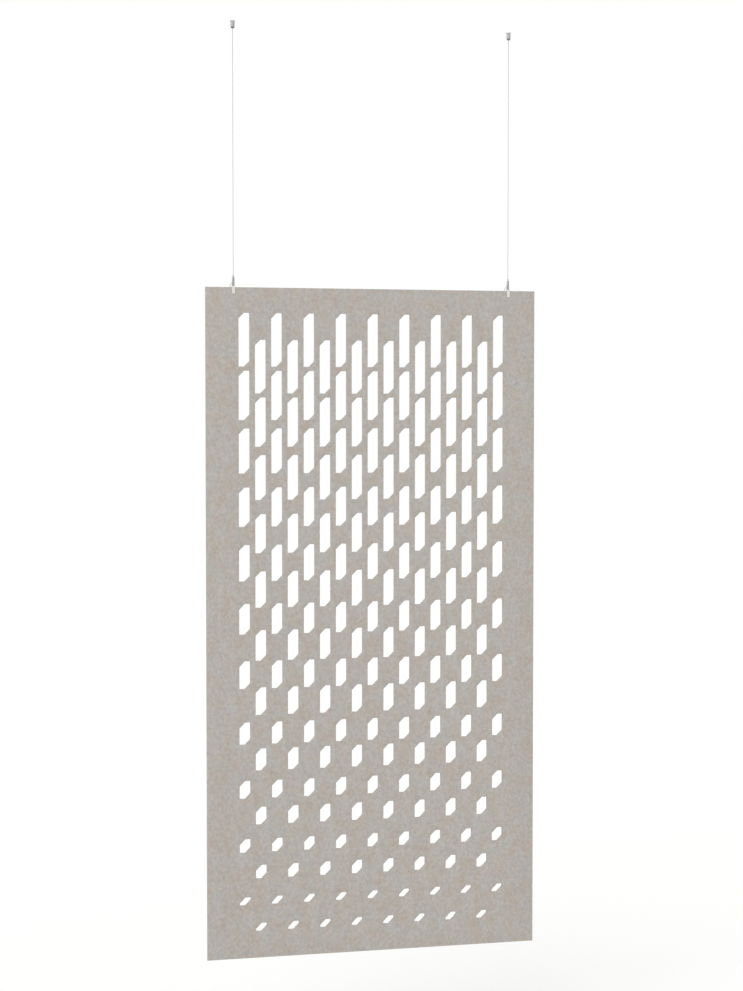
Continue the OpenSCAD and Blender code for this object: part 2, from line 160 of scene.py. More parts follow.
def makeFelt(name, cut):
    made, tree, shader = newMaterial(name, **felt["finish"])
    place = addNode(tree, "ShaderNodeTexCoord").outputs["Object"]
    drawn = addNode(
        tree, "ShaderNodeMapping", {"Vector": place, "Scale": (1, 1, felt["drawn"])}
    ).outputs["Vector"]
    cloud, fleck, mottle = [
        addNode(tree, "ShaderNodeTexNoise", {
            "Vector": drawn, "Scale": 1 / felt[kind], "Detail": felt["detail"][kind],
            "Roughness": felt["fineness"],
        }).outputs["Fac"]
        for kind in ("cloud", "fleck", "mottle")
    ]
    colour = addNode(
        tree, "ShaderNodeValToRGB", {"Fac": cloud}, stops=felt["tones"]
    ).outputs["Color"]
    least, most = felt["fleckRange"]
    tint = addNode(  # inputs 7 to 10 are the limits of a vector's range
        tree, "ShaderNodeMapRange",
        {"Vector": fleck, 7: (least,) * 3, 8: (most,) * 3,
         9: felt["greenish"], 10: felt["reddish"]},
        data_type="FLOAT_VECTOR",
    ).outputs["Vector"]
    least, most = felt["mottleRange"]
    shade = addNode(
        tree, "ShaderNodeMapRange",
        {"Value": mottle, "From Min": least, "From Max": most,
         "To Min": 1 - felt["mottleDepth"], "To Max": 1 + felt["mottleDepth"]},
    ).outputs["Result"]
    for factor in (tint, shade):
        colour = addNode(
            tree, "ShaderNodeVectorMath", {0: colour, 1: factor}, operation="MULTIPLY"
        ).outputs["Vector"]
    across = 1 / felt["hairWidth"]
    deep = across * (1.0 if cut else felt["hairDepth"])
    least, most = felt["hairRange"]
    heights = []
    for turn, tone in felt["hairs"].items():
        wander = addNode(
            tree, "ShaderNodeTexNoise",
            {"Vector": place, "W": turn, "Scale": 1 / felt["hairWander"], "Detail": 1.0},
            noise_dimensions="4D",
        ).outputs["Color"]
        bent = addNode(
            tree, "ShaderNodeVectorMath", {0: wander, 1: (felt["hairCurl"],) * 3, 2: place},
            operation="MULTIPLY_ADD",
        ).outputs["Vector"]
        along = addNode(
            tree, "ShaderNodeMapping", {"Vector": bent, "Rotation": (0, math.radians(turn), 0)},
        ).outputs["Vector"]
        stretched = addNode(
            tree, "ShaderNodeMapping",
            {"Vector": along, "Scale": (across, deep, 1 / felt["hairLength"])},
        ).outputs["Vector"]
        strands = addNode(
            tree, "ShaderNodeTexNoise", {"Vector": stretched, "Scale": 1.0, "Detail": 1.0}
        ).outputs["Fac"]
        hair = addNode(
            tree, "ShaderNodeMapRange", {"Value": strands, "From Min": least, "From Max": most},
            interpolation_type="SMOOTHSTEP",
        ).outputs["Result"]
        share = addNode(
            tree, "ShaderNodeMath", {0: hair, 1: felt["hairShare"]}, operation="MULTIPLY"
        ).outputs[0]
        colour = addNode(
            tree, "ShaderNodeMix", {"Factor": share, "A": colour, "B": linear(felt[tone])},
            data_type="RGBA",
        ).outputs["Result"]
        heights.append(hair)
    height = heights[0]
    for more in heights[1:]:
        height = addNode(tree, "ShaderNodeMath", {0: height, 1: more}, operation="ADD").outputs[0]
    height = addNode(
        tree, "ShaderNodeMath", {0: mottle, 1: felt["mottleRise"], 2: height},
        operation="MULTIPLY_ADD",
    ).outputs[0]
    relief = addNode(
        tree, "ShaderNodeBump",
        {"Height": height, "Strength": felt["bump"], "Distance": felt["relief"]},
    ).outputs["Normal"]
    tree.links.new(colour, shader.inputs["Base Color"])
    tree.links.new(relief, shader.inputs["Normal"])
    return made


feltFace = makeFelt("needled polyester felt", cut=False)
feltCut = makeFelt("knife-cut felt edge", cut=True)

# Turned metal: fine rings from the lathe tool round each piece's own axis, under satin
# nickel plate. The plate is dull and greyish, and shows the room as soft bands. The flange
# has a paler colour, which is a painted highlight, and the grippers a little darker one. The nose
# of the ceiling socket has painted shade that darkens from one height (m) to the next.
turning = {
    "ringRange": (0.2, 0.8),
    "ringTone": (0.93, 1.05),
    "bump": 0.5,
    "smudge": 5 * mm,  # patches of more and of less gloss
    "smudgeRange": (0.3, 0.7),
    "glossier": 0.05,
    "duller": 0.07,
}
nickel = {"colour": "#a8a8a9", "roughness": 0.34, "feed": 0.14 * mm, "depth": 0.004 * mm}
metals = {
    # painted highlight: the flange's plate is paler than the rest, so its downward flare looks as
    # lit as the body
    "satin nickel plate with painted highlight on the flange": {**nickel, "colour": "#b1b1b2"},
    # painted shade: the socket's nose darkens towards its tip, from one height to the next
    "nickel with painted shade on the nose": {**nickel, "nose": (-19.5 * mm, -24.5 * mm), "noseShadeTone": 0.42},
    "nickel plate on the grippers": {**nickel, "colour": "#a2a2a3"},
    "turned stainless steel": {
        "colour": "#a9a9a9", "roughness": 0.26, "feed": 0.09 * mm, "depth": 0.002 * mm,
    },
    "ground bearing steel": {
        "colour": "#b9b9b8", "roughness": 0.12, "feed": 0.03 * mm, "depth": 0.0005 * mm,
    },
}


def makeTurned(name):
    values = metals[name]
    made, tree, shader = newMaterial(name, Metallic=1.0)
    place = addNode(tree, "ShaderNodeTexCoord").outputs["Object"]
    parts = addNode(tree, "ShaderNodeSeparateXYZ", {"Vector": place}).outputs
    mirrored = addNode(tree, "ShaderNodeMath", {0: parts["X"]}, operation="ABSOLUTE").outputs[0]
    centred = addNode(
        tree, "ShaderNodeMath", {0: mirrored, 1: hangerX}, operation="SUBTRACT"
    ).outputs[0]
    flat = addNode(tree, "ShaderNodeCombineXYZ", {"X": centred, "Y": parts["Y"]}).outputs["Vector"]
    radius = addNode(tree, "ShaderNodeVectorMath", {0: flat}, operation="LENGTH").outputs["Value"]
    run = addNode(tree, "ShaderNodeMath", {0: radius, 1: parts["Z"]}, operation="ADD").outputs[0]
    rings = addNode(
        tree, "ShaderNodeTexNoise", {"W": run, "Scale": 1 / values["feed"], "Detail": 2.0},
        noise_dimensions="1D",
    ).outputs["Fac"]
    smudge = addNode(
        tree, "ShaderNodeTexNoise",
        {"Vector": place, "Scale": 1 / turning["smudge"], "Detail": 3.0},
    ).outputs["Fac"]
    least, most = turning["smudgeRange"]
    dull = addNode(
        tree, "ShaderNodeMapRange",
        {"Value": smudge, "From Min": least, "From Max": most,
         "To Min": values["roughness"] - turning["glossier"],
         "To Max": values["roughness"] + turning["duller"]},
    ).outputs["Result"]
    (least, most), (dark, bright) = turning["ringRange"], turning["ringTone"]
    tone = addNode(
        tree, "ShaderNodeMapRange",
        {"Value": rings, "From Min": least, "From Max": most, "To Min": dark, "To Max": bright},
    ).outputs["Result"]
    # painted shade: the nose grows darker towards its tip
    if "nose" in values:
        start, end = values["nose"]
        noseShade = addNode(
            tree, "ShaderNodeMapRange",
            {"Value": parts["Z"], "From Min": start, "From Max": end,
             "To Min": 1.0, "To Max": values["noseShadeTone"]},
            interpolation_type="SMOOTHSTEP",
        ).outputs["Result"]
        tone = addNode(
            tree, "ShaderNodeMath", {0: tone, 1: noseShade}, operation="MULTIPLY"
        ).outputs[0]
    colour = addNode(
        tree, "ShaderNodeVectorMath", {0: linear(values["colour"])[:3], 1: tone},
        operation="MULTIPLY",
    ).outputs["Vector"]
    relief = addNode(
        tree, "ShaderNodeBump",
        {"Height": rings, "Strength": turning["bump"], "Distance": values["depth"]},
    ).outputs["Normal"]
    tree.links.new(colour, shader.inputs["Base Color"])
    tree.links.new(dull, shader.inputs["Roughness"])
    tree.links.new(relief, shader.inputs["Normal"])
    return made


flangeNickelPaintedLight = makeTurned("satin nickel plate with painted highlight on the flange")
shadedNoseNickel = makeTurned("nickel with painted shade on the nose")
gripNickel = makeTurned("nickel plate on the grippers")
turnedSteel = makeTurned("turned stainless steel")
ballSteel = makeTurned("ground bearing steel")

# Drawn and stranded stainless wire: bright filaments, and painted shade between them.
# Its map runs round the wire with the strands (U) and along it in metres (V).
strand = {
    "bright": "#ababaa",
    # painted shade between the filaments
    "gapShade": "#626261",
    "roughness": 0.28,
    "strands": 6,
    "perStrand": 3,  # filaments that show on a strand
    "filamentLay": 4.5 * mm,
    "crown": (-1.0, 0.2),  # of a sine across each filament: the painted shade between filaments, and where it is bright
    "bump": 0.7,
    "relief": 0.02 * mm,
}


def makeStranded():
    made, tree, shader = newMaterial(
        "stranded stainless wire", Metallic=1.0, Roughness=strand["roughness"]
    )
    route = addNode(tree, "ShaderNodeUVMap", uv_map="route").outputs["UV"]
    parts = addNode(tree, "ShaderNodeSeparateXYZ", {"Vector": route}).outputs
    around = addNode(
        tree, "ShaderNodeMath", {0: parts["X"], 1: float(strand["perStrand"] * strand["strands"])},
        operation="MULTIPLY",
    ).outputs[0]
    phase = addNode(
        tree, "ShaderNodeMath", {0: parts["Y"], 1: 1 / strand["filamentLay"], 2: around},
        operation="MULTIPLY_ADD",
    ).outputs[0]
    angle = addNode(
        tree, "ShaderNodeMath", {0: phase, 1: math.tau}, operation="MULTIPLY"
    ).outputs[0]
    wave = addNode(tree, "ShaderNodeMath", {0: angle}, operation="SINE").outputs[0]
    dark, bright = strand["crown"]
    crown = addNode(
        tree, "ShaderNodeMapRange", {"Value": wave, "From Min": dark, "From Max": bright},
        interpolation_type="SMOOTHSTEP",
    ).outputs["Result"]
    # painted shade between the filaments, darkest where the sine is lowest
    colour = addNode(
        tree, "ShaderNodeValToRGB", {"Fac": crown},
        stops=[(0.0, strand["gapShade"]), (1.0, strand["bright"])],
    ).outputs["Color"]
    relief = addNode(
        tree, "ShaderNodeBump",
        {"Height": crown, "Strength": strand["bump"], "Distance": strand["relief"]},
    ).outputs["Normal"]
    tree.links.new(colour, shader.inputs["Base Color"])
    tree.links.new(relief, shader.inputs["Normal"])
    return made


strandedSteel = makeStranded()

# Powder coat on the clip and moulded nylon on the pad: both pale, with a soft gloss; the
# coat has a fine orange peel, the nylon a faint mould grain.
pale = {
    "white powder coat": {
        "tones": ((0.3, "#d9d7d3"), (0.7, "#e3e1dd")), "roughness": 0.42,
        "grain": 0.7 * mm, "relief": 0.02 * mm,
    },
    "moulded white nylon": {
        "tones": ((0.3, "#d9d7cf"), (0.7, "#e3e1da")), "roughness": 0.55,
        "grain": 0.25 * mm, "relief": 0.01 * mm,
    },
}
paleDrift = 8 * mm  # patches that are whiter or creamier
paleBump = 0.5


def makePale(name):
    values = pale[name]
    made, tree, shader = newMaterial(name, Roughness=values["roughness"])
    place = addNode(tree, "ShaderNodeTexCoord").outputs["Object"]
    peel = addNode(
        tree, "ShaderNodeTexNoise", {"Vector": place, "Scale": 1 / values["grain"], "Detail": 1.0},
    ).outputs["Fac"]
    drift = addNode(
        tree, "ShaderNodeTexNoise", {"Vector": place, "Scale": 1 / paleDrift, "Detail": 2.0},
    ).outputs["Fac"]
    colour = addNode(
        tree, "ShaderNodeValToRGB", {"Fac": drift}, stops=values["tones"]
    ).outputs["Color"]
    relief = addNode(
        tree, "ShaderNodeBump",
        {"Height": peel, "Strength": paleBump, "Distance": values["relief"]},
    ).outputs["Normal"]
    tree.links.new(colour, shader.inputs["Base Color"])
    tree.links.new(relief, shader.inputs["Normal"])
    return made


powderCoat = makePale("white powder coat")
whiteNylon = makePale("moulded white nylon")
print("finishes made")


def only(piece):
    if bpy.context.mode != "OBJECT":
        bpy.ops.object.mode_set(mode="OBJECT")
    bpy.ops.object.select_all(action="DESELECT")
    piece.select_set(True)
    bpy.context.view_layer.objects.active = piece


def pick(piece, kind, test):
    # in edit mode with only those vertices, edges or polygons selected for which test is true
    only(piece)
    mesh = piece.data
    for group in (mesh.vertices, mesh.edges, mesh.polygons):
        group.foreach_set("select", [False] * len(group))
    for item in getattr(mesh, kind):
        item.select = test(item)
    bpy.context.tool_settings.mesh_select_mode = [
        kind == k for k in ("vertices", "edges", "polygons")
    ]
    bpy.ops.object.mode_set(mode="EDIT")


def finishMesh(piece, name, material, smooth=30):
    only(piece)
    piece.name = piece.data.name = name
    bpy.ops.object.transform_apply(location=True, rotation=True, scale=True)
    piece.data.materials.clear()
    piece.data.materials.append(material)
    bpy.ops.object.shade_smooth_by_angle(angle=math.radians(smooth))
    return piece


def applyModifier(piece, kind, **settings):
    only(piece)
    made = piece.modifiers.new("step", kind)
    for name, value in settings.items():
        setattr(made, name, value)
    bpy.ops.object.modifier_apply(modifier=made.name)


flatAngle = 0.5  # degrees between faces that count as one flat face


def copyOfNode(nodeName):
    # a CAD node's loose triangles, merged and with its flat faces joined again
    piece = cadNodes[nodeName].copy()
    piece.data = cadNodes[nodeName].data.copy()
    piece.parent = None
    for key in [k for k in piece.keys() if k.startswith("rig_")]:
        del piece[key]
    bpy.context.scene.collection.objects.link(piece)
    pick(piece, "vertices", lambda v: True)
    bpy.ops.mesh.remove_doubles(threshold=slack["merge"] * mm)
    bpy.ops.mesh.dissolve_limited(angle_limit=math.radians(flatAngle))
    bpy.ops.object.mode_set(mode="OBJECT")
    return piece


skewPlace = (0.31, -0.47, 0.83)  # metres; the points of a piece are all unequally far from it


def turned(centre, rings, count, openEnds=False):
    # one circle, extruded and resized ring by ring, as on a lathe
    # rings are (radius, height) in mm, and centre is in metres
    first = rings[0]
    bpy.ops.object.select_all(action="DESELECT")
    bpy.ops.mesh.primitive_circle_add(
        vertices=count, radius=first[0] * mm, location=(centre, 0, first[1] * mm),
        fill_type="NOTHING" if openEnds else "NGON",
    )
    piece = bpy.context.object
    only(piece)
    bpy.ops.object.transform_apply(location=True, rotation=True, scale=True)
    pick(piece, "vertices", lambda v: True)
    for (r0, z0), (r1, z1) in zip(rings, rings[1:]):
        bpy.ops.mesh.extrude_region_move(TRANSFORM_OT_translate={"value": (0, 0, (z1 - z0) * mm)})
        if r1 != r0:
            bpy.ops.transform.resize(
                value=(r1 / r0, r1 / r0, 1), center_override=(centre, 0, z1 * mm)
            )
    if openEnds:  # the last ring lies on the first, so the wall closes
        bpy.ops.mesh.select_all(action="SELECT")
        bpy.ops.mesh.remove_doubles(threshold=slack["merge"] * mm)
    bpy.ops.mesh.select_all(action="SELECT")
    bpy.ops.mesh.normals_make_consistent(inside=False)
    # extrude numbers its points in another order each run, so they are sorted by distance
    bpy.context.scene.cursor.location = skewPlace
    bpy.ops.mesh.sort_elements(type="CURSOR_DISTANCE", elements={"VERT", "EDGE", "FACE"})
    bpy.ops.object.mode_set(mode="OBJECT")
    return piece


def fillRing(piece, test):
    # a lid on the ring of points for which test is true
    pick(piece, "vertices", test)
    bpy.ops.mesh.edge_face_add()
    bpy.ops.mesh.select_all(action="SELECT")
    bpy.ops.mesh.normals_make_consistent(inside=False)
    bpy.ops.object.mode_set(mode="OBJECT")


wire = {
    "radius": 0.75 * mm,
    "strandLay": 10 * mm,
    "step": 0.8 * mm,
    "across": 4,  # points on each strand
    "smooth": 60,  # degrees
    "top": -15.1, "capMouth": -26.5,  # mm from the ceiling
    "foot": 41.1, "tailTop": 40.9, "bendTop": 23.5,  # mm above the felt's top edge
    # the tail, in mm and degrees: its bend, the straight stretch out through the barrel's
    # wall, the wide bend down again, the straight end, and which way it all points
    "bendRadius": 4, "tilt": 41, "bendSteps": 12, "through": 7,
    "tailRadius": 52, "tailSteps": 24, "end": 25, "turn": 145,
    "exitRadius": 3.7,  # where the tail's free stretch starts, just inside the barrel's wall
}


def alongRoute(corners, step):
    # the same line with points a step apart
    points = [Vector(c) for c in corners]
    run = [0.0]
    for a, b in zip(points, points[1:]):
        run.append(run[-1] + (b - a).length)
    count = max(2, round(run[-1] / step) + 1)
    out, k = [], 0
    for i in range(count):
        at = run[-1] * i / (count - 1)
        while k < len(run) - 2 and run[k + 1] < at:
            k += 1
        out.append(points[k].lerp(points[k + 1], (at - run[k]) / (run[k + 1] - run[k])))
    return out


def strandRadius(angle):
    # outline of six strands that touch round a core: distance from the axis at that angle
    pitch = math.tau / strand["strands"]
    off = (angle + pitch / 2) % pitch - pitch / 2
    reach, r = wire["radius"] * 2 / 3, wire["radius"] / 3
    return reach * math.cos(off) + math.sqrt(max(0.0, r * r - (reach * math.sin(off)) ** 2))


def strandedTube(name, line, start):
    # rings of points along the line, each turned a little further, so the strands wind round
    count = strand["strands"] * wire["across"]
    mesh = bpy.data.meshes.new(name)
    form = bmesh.new()
    sideways = Vector((0, 1, 0))  # no line here runs that way
    rings, spins, run = [], [], start
    for i, point in enumerate(line):
        ahead = (line[min(i + 1, len(line) - 1)] - line[max(i - 1, 0)]).normalized()
        sideways = (sideways - ahead * sideways.dot(ahead)).normalized()
        other = ahead.cross(sideways)
        if i:
            run += (point - line[i - 1]).length
        twist = math.tau * run / wire["strandLay"]
        ring = []
        for k in range(count):
            angle = math.tau * k / count
            r = strandRadius(angle)
            ring.append(form.verts.new(
                point + (sideways * math.cos(angle + twist) + other * math.sin(angle + twist)) * r
            ))
        rings.append(ring)
        spins.append(run)
    route = form.loops.layers.uv.new("route")
    for i, (lower, upper) in enumerate(zip(rings, rings[1:])):
        for k in range(count):
            j = (k + 1) % count
            face = form.faces.new((lower[k], lower[j], upper[j], upper[k]))
            for loop, (u, v) in zip(face.loops, (
                (k / count, spins[i]), ((k + 1) / count, spins[i]),
                ((k + 1) / count, spins[i + 1]), (k / count, spins[i + 1]),
            )):
                loop[route].uv = (u, v)
    form.faces.new(list(reversed(rings[0])))
    form.faces.new(rings[-1])
    bmesh.ops.recalc_face_normals(form, faces=form.faces)
    form.to_mesh(mesh)
    form.free()
    piece = bpy.data.objects.new(name, mesh)
    bpy.context.scene.collection.objects.link(piece)
    return finishMesh(piece, name, strandedSteel, wire["smooth"])


def tailRoute(x):
    # the tail's route in its upright plane, as in the part's source
    tilt = math.radians(wire["tilt"])
    bend, big = wire["bendRadius"], wire["tailRadius"]
    flat = [(0.0, panelTop + wire["tailTop"])]
    for i in range(wire["bendSteps"] + 1):
        a = math.pi + tilt * i / wire["bendSteps"]
        flat.append((bend + bend * math.cos(a), panelTop + wire["bendTop"] + bend * math.sin(a)))
    outX, outZ = flat[-1]
    outX += wire["through"] * math.sin(tilt)
    outZ -= wire["through"] * math.cos(tilt)
    midX, midZ = outX - big * math.cos(tilt), outZ - big * math.sin(tilt)
    for i in range(wire["tailSteps"] + 1):
        a = tilt * (1 - i / wire["tailSteps"])
        flat.append((midX + big * math.cos(a), midZ + big * math.sin(a)))
    flat.append((flat[-1][0], flat[-1][1] - wire["end"]))
    turn = math.radians(wire["turn"])
    line = alongRoute([
        (x + r * mm * math.cos(turn), r * mm * math.sin(turn), z * mm) for r, z in flat
    ], wire["step"])
    cut = next(
        i for i, p in enumerate(line)
        if math.hypot(p.x - x, p.y) > wire["exitRadius"] * mm
    )
    return line[:cut + 1], line[cut:]


def lengthOf(line):
    return sum((b - a).length for a, b in zip(line, line[1:]))


for side, sign in sides.items():
    x = sign * hangerX
    ends = [(x, 0, wire["top"] * mm), (x, 0, (panelTop + wire["foot"]) * mm)]
    taut = alongRoute(ends, wire["step"])
    lift = strandedTube("liftWire_" + side, taut, 0)
    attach(lift, "wires")
    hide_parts("wire_" + side)
    held, free = tailRoute(x)
    clamped = strandedTube("clampedWire_" + side, held, 0)
    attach(clamped, "panel")
    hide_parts("wire_tail_" + side)
    tail = strandedTube("wireTail_" + side, free, lengthOf(held))
    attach(tail, "panel")
    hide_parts("wire_tail_" + side)
print("wires stranded")


# In mm: nine columns of eleven slots, and eight more halfway between them whose slots sit
# lower. Two opposite corners of each slot are cut off.
board = {
    "columns": 9, "pitch": 117.5, "slotWidth": 40, "cut": 20,
    "topMargin": 90, "rowOffset": 95,
    "lengths": (190, 175, 160, 140, 130, 110, 100, 80, 65, 50, 30),
    "webs": (15, 30, 50, 65, 80, 95, 120, 130, 145, 160),
    "ring": 4,  # felt ring that is inset round each slot
    "slotSlack": 0.2,  # between a slot and the face that is cut out for it
    "softEdge": 0.5, "edgeSteps": 3,
    "sharp": 60, "smooth": 35,  # degrees
}


def spanOf(mesh, edge):
    # how far an edge reaches along X, Y and Z
    a, b = (mesh.vertices[v].co for v in edge.vertices)
    return [abs(p - q) for p, q in zip(a, b)]


def spotOf(point):
    # a point's place to a hundredth of a millimetre
    return tuple(round(c / mm, 2) for c in point.co)


def makeBoard():
    low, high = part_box("felt_panel")
    same = slack["same"] * mm
    halfPitch = board["pitch"] * mm / 2
    strips = 2 * board["columns"] - 1
    firstX = -strips * halfPitch / 2
    tops = []
    for row in range(len(board["lengths"])):
        depth = board["topMargin"] + sum(board["lengths"][:row]) + sum(board["webs"][:row])
        tops.append(high.z - depth * mm)

    def stripOf(x):
        return math.floor((x - firstX) / halfPitch)

    def slotAt(x, z):
        # left, right, upper and lower side of the slot in the cell round that point
        strip = stripOf(x)
        shift = (strip % 2) * board["rowOffset"] * mm
        middle = firstX + (strip + 0.5) * halfPitch
        rows = [
            (top - shift, top - shift - long * mm) for top, long in zip(tops, board["lengths"])
        ]
        upper, lower = min(rows, key=lambda r: abs((r[0] + r[1]) / 2 - z) - (r[0] - r[1]) / 2)
        half = board["slotWidth"] * mm / 2
        return middle - half, middle + half, upper, lower

    bpy.ops.object.select_all(action="DESELECT")
    bpy.ops.mesh.primitive_plane_add(
        size=1, location=((low.x + high.x) / 2, low.y, (low.z + high.z) / 2),
        rotation=(math.radians(90), 0, 0),
    )
    piece = bpy.context.object
    piece.scale = (high.x - low.x, high.z - low.z, 1)
    bpy.ops.object.transform_apply(location=True, rotation=True, scale=True)
    # upright cuts between the columns, then level cuts halfway down each web
    for i in range(strips + 1):
        pick(piece, "polygons", lambda p: True)
        bpy.ops.mesh.bisect(plane_co=(firstX + i * halfPitch, 0, 0), plane_no=(1, 0, 0))
    for odd in (0, 1):
        for row, web in enumerate(board["webs"]):
            z = tops[row] - (board["lengths"][row] + web / 2 + odd * board["rowOffset"]) * mm
            pick(piece, "polygons", lambda p: 0 <= stripOf(p.center.x) < strips
                 and stripOf(p.center.x) % 2 == odd)
            bpy.ops.mesh.bisect(plane_co=(0, 0, z), plane_no=(0, 0, 1))
    pick(piece, "polygons", lambda p: 0 <= stripOf(p.center.x) < strips)
    bpy.ops.mesh.inset(thickness=board["ring"] * mm, use_individual=True)
    bpy.ops.object.mode_set(mode="OBJECT")
    mesh = piece.data
    inner = [p for p in mesh.polygons if p.select]
    innerPoints = {v for p in inner for v in p.vertices}

    def isTie(edge):
        # the level edges that the neighbours' cuts leave across a ring
        isLevel = spanOf(mesh, edge)[2] < same
        return isLevel and len(set(edge.vertices) & innerPoints) == 1

    ties = {e.index for e in mesh.edges if isTie(e)}
    pick(piece, "edges", lambda e: e.index in ties)
    bpy.ops.mesh.dissolve_edges(use_verts=True)
    bpy.ops.object.mode_set(mode="OBJECT")
    # each inset face takes the size of its slot
    ringWidth = halfPitch - 2 * (board["ring"] * mm)
    corners = set()
    centres = []
    for face in mesh.polygons:
        xs = [mesh.vertices[v].co.x for v in face.vertices]
        if len(face.vertices) != 4 or abs(max(xs) - min(xs) - ringWidth) > same:
            continue
        if not 0 <= stripOf(face.center.x) < strips:
            continue
        left, right, upper, lower = slotAt(face.center.x, face.center.z)
        middle = Vector(face.center)
        for v in face.vertices:
            point = mesh.vertices[v]
            isLeft, isUpper = point.co.x < middle.x, point.co.z > middle.z
            point.co.x = left if isLeft else right
            point.co.z = upper if isUpper else lower
            if isLeft == isUpper:
                corners.add(v)
        centres.append(((left + right) / 2, (upper + lower) / 2))
    print("slots laid out:", len(centres))
    # the slanting edges that meet the two corners go, and the corners are cut off
    spokes = set()
    for edge in mesh.edges:
        across, _, up = spanOf(mesh, edge)
        if len(set(edge.vertices) & corners) == 1 and min(across, up) > same:
            spokes.add(edge.index)
    cornerSpots = {spotOf(mesh.vertices[v]) for v in corners}
    pick(piece, "edges", lambda e: e.index in spokes)
    bpy.ops.mesh.dissolve_edges(use_verts=False)
    bpy.ops.object.mode_set(mode="OBJECT")
    pick(piece, "vertices", lambda v: spotOf(v) in cornerSpots)
    bpy.ops.mesh.bevel(
        offset=board["cut"] * mm, affect="VERTICES", offset_type="OFFSET", segments=1,
        clamp_overlap=False,
    )
    centres = np.array(centres)

    def isSlot(face):
        away = np.abs(centres - (face.center.x, face.center.z)).max(axis=1)
        return len(face.vertices) == 6 and away.min() < board["slotSlack"] * mm

    pick(piece, "polygons", isSlot)
    bpy.ops.mesh.delete(type="FACE")
    bpy.ops.object.mode_set(mode="OBJECT")
    applyModifier(piece, "SOLIDIFY", thickness=high.y - low.y, offset=-1, use_even_offset=False)
    # knife-cut edges give a little: a small round along both faces
    pick(piece, "vertices", lambda v: True)
    bpy.context.tool_settings.mesh_select_mode = (False, True, False)
    bpy.ops.mesh.select_all(action="DESELECT")
    bpy.ops.mesh.edges_select_sharp(sharpness=math.radians(board["sharp"]))
    bpy.ops.object.mode_set(mode="OBJECT")
    rims = {
        e.index for e in piece.data.edges if e.select and spanOf(piece.data, e)[1] < same
    }
    pick(piece, "edges", lambda e: e.index in rims)
    bpy.ops.mesh.bevel(
        offset=board["softEdge"] * mm, segments=board["edgeSteps"], affect="EDGES",
        clamp_overlap=False,
    )
    bpy.ops.object.mode_set(mode="OBJECT")
    finishMesh(piece, "feltBoard", feltFace, board["smooth"])
    piece.data.materials.append(feltCut)
    for face in piece.data.polygons:
        face.material_index = 1 if abs(face.normal.y) < 0.5 else 0  # the cut edge, or a face
    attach(piece, "panel")
    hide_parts("felt_panel")
    return piece


feltBoard = makeBoard()
print("felt board cut:", len(feltBoard.data.polygons), "faces")


# Heights and radii in mm, as in the CAD part; base and cap are turned from rings of them
fitting = {
    "sides": 96, "edge": 0.25,
    "flange": 9.5, "flangeRim": 1.5, "neck": 7.1, "baseFoot": -8, "boss": 6, "bossFoot": -14,
    "flareEdge": 0.4, "flareSteps": 12, "groove": 0.2, "bossEdge": 0.4,
    "stud": 3, "studDepth": 12, "studEdge": 0.3,
    "threadPitch": 1.0, "threadDepth": 0.3, "ridge": 0.35,  # half a ridge's width
    "bulge": 0.3, "bulgeSteps": 16, "roundTop": -20.5, "roundSteps": 10,
    "tip": -26.5, "tipRadius": 3.4, "mouth": 2.6, "mouthEdge": 0.2,
    "throat": 1.6, "throatTop": -21.865, "throatLength": 0.4,
    "chamber": 3.2, "chamberFoot": -20.265, "socket": 6.05, "socketGap": 1,
}


def makeCeilingBase(side, x):
    f = fitting
    bore = [(f["stud"], -f["studDepth"])]
    steps = int(f["studDepth"] / f["threadPitch"]) - 1
    for i in range(steps):  # the rolled thread's ridges, drawn as rings
        z = -f["studDepth"] + (i + 1) * f["threadPitch"]
        bore += [(f["stud"], z - f["ridge"]), (f["stud"] - f["threadDepth"], z),
                 (f["stud"], z + f["ridge"])]
    bore.append((f["stud"] + f["studEdge"], 0))
    rim = [(f["flange"] - f["edge"], 0), (f["flange"], -f["edge"]),
           (f["flange"], -f["flangeRim"] + f["edge"]), (f["flange"] - f["edge"], -f["flangeRim"])]
    flare = []
    for i in range(1, f["flareSteps"] + 1):
        t = i / f["flareSteps"]
        flare.append((f["neck"] + (f["flange"] - f["flareEdge"] - f["neck"]) * (1 - t) ** 2,
                      -f["flangeRim"] + (f["baseFoot"] + f["flangeRim"]) * t))
    joint = [(f["neck"] - f["groove"], f["baseFoot"]), (f["boss"], f["baseFoot"])]
    foot = [(f["boss"], f["bossFoot"] + f["bossEdge"]), (f["boss"] - f["bossEdge"], f["bossFoot"])]
    piece = turned(x, bore + rim + flare + joint + foot, f["sides"])
    fillRing(piece, lambda v: v.co.z < (f["bossFoot"] + slack["same"]) * mm)
    # its paler plate is a painted highlight
    finishMesh(piece, "ceilingFlange_" + side, flangeNickelPaintedLight)
    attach(piece, "ceiling_fittings")
    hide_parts("ceiling_base_" + side)


